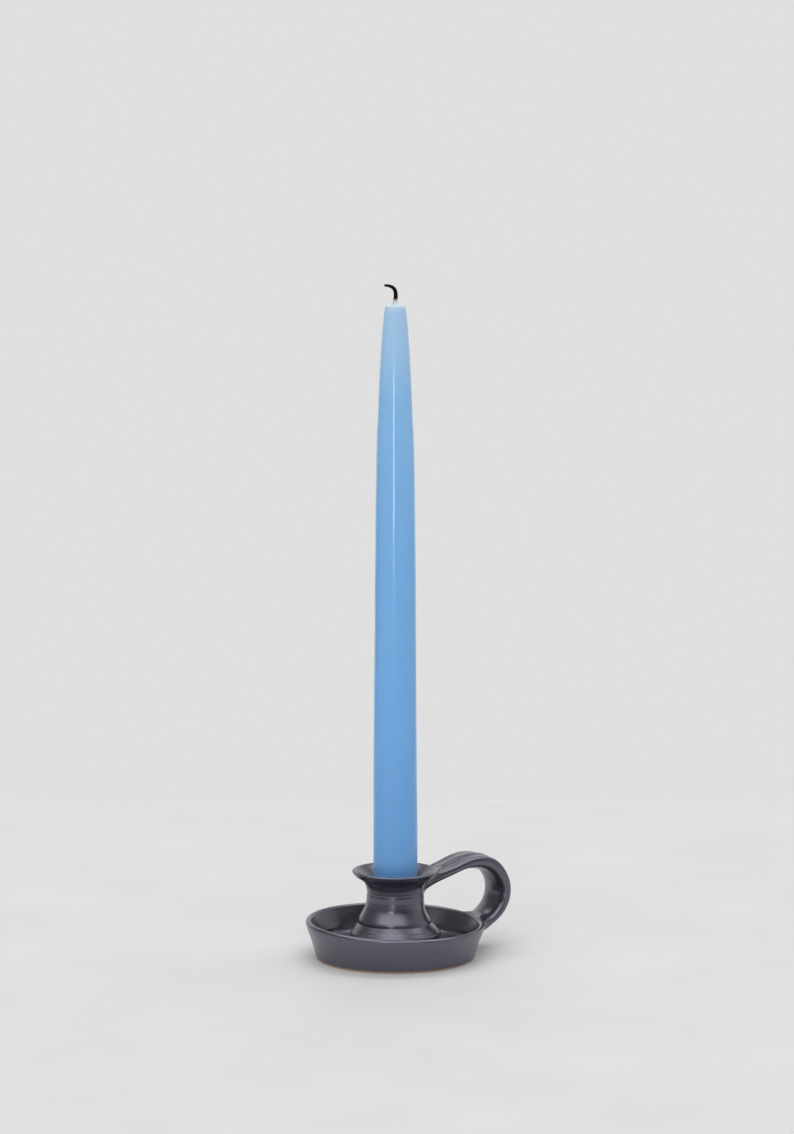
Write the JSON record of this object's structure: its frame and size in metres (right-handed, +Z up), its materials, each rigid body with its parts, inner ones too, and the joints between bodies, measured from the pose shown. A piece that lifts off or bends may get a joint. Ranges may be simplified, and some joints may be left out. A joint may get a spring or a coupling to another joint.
{
  "type": "chamberstick",
  "caption": "Stoneware chamberstick: a round drip pan with a turned candle socket in the middle and a strap finger loop, holding a tall dinner taper that lifts out.",
  "frame": {"origin": "centre of the foot, on the surface that the chamberstick stands on", "axes": "+Z up along the candle, +X to the side that the finger loop leans towards, -Y to the front that the picture shows; the loop points between +X and +Y"},
  "size_m": [0.1029, 0.0892, 0.3338],
  "materials": {
    "slate_glaze": "satin dark slate glaze over stoneware, with a bare clay foot",
    "blue_wax": "smooth satin blue wax",
    "cotton_wick": "braided cotton, waxed at the foot and charred at the tip"
  },
  "bodies": {
    "holder": {"drip_pan": "slate_glaze", "candle_socket": "slate_glaze", "loop_handle": "slate_glaze"},
    "candle": {"taper_candle": "blue_wax", "wick": "cotton_wick"}
  },
  "joints": [
    {"name": "candle_lift", "type": "slide", "parent": "holder", "child": "candle", "axis": [0, 0, 1], "range_m": [0, 0.045]}
  ]
}
